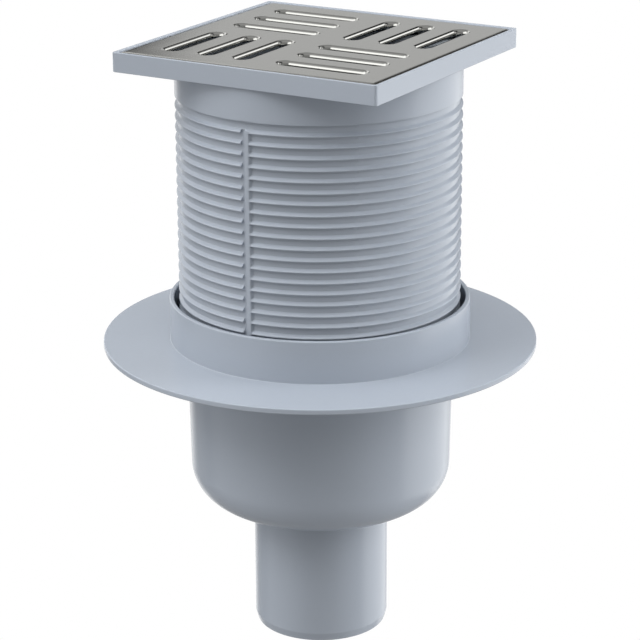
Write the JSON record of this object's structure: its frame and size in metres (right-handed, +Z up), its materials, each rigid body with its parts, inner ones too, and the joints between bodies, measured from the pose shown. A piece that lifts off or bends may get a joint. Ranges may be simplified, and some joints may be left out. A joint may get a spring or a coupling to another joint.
{
  "type": "gully trap",
  "caption": "Floor gully with a straight-down outlet: flanged cup with a lift-out water trap, a ringed neck that slides and turns, and a square slotted steel grille.",
  "frame": {"origin": "centre of the outlet pipe's lower end, on the drain's axis", "axes": "+Z up the drain's axis, from the outlet to the grille; +X and +Y along the sides of the square frame; the neck's upright strip is on the -Y side"},
  "size_m": [0.159, 0.159, 0.2233],
  "materials": {
    "grey_moulding": "satin blue-grey polypropylene",
    "steel_sheet": "fine brushed stainless, polished on the rolled slot edges",
    "trap_moulding": "satin blue-grey polypropylene",
    "seal_rubber": "matt black"
  },
  "bodies": {
    "drain_body": {"drain_body": "grey_moulding", "trap_tube": "trap_moulding", "trap_tube_seal": "seal_rubber", "trap_bell": "trap_moulding"},
    "neck_seal": {"neck_seal": "seal_rubber"},
    "neck": {"neck_frame": "grey_moulding", "grille": "steel_sheet"}
  },
  "joints": [
    {"name": "height_slide", "type": "slide", "parent": "drain_body", "child": "neck_seal", "axis": [0, 0, 1], "range_m": [0, 0.008]},
    {"name": "frame_turn", "type": "hinge", "parent": "neck_seal", "child": "neck", "pos_m": [0, 0, 0.1193], "axis": [0, 0, 1], "continuous": true}
  ]
}
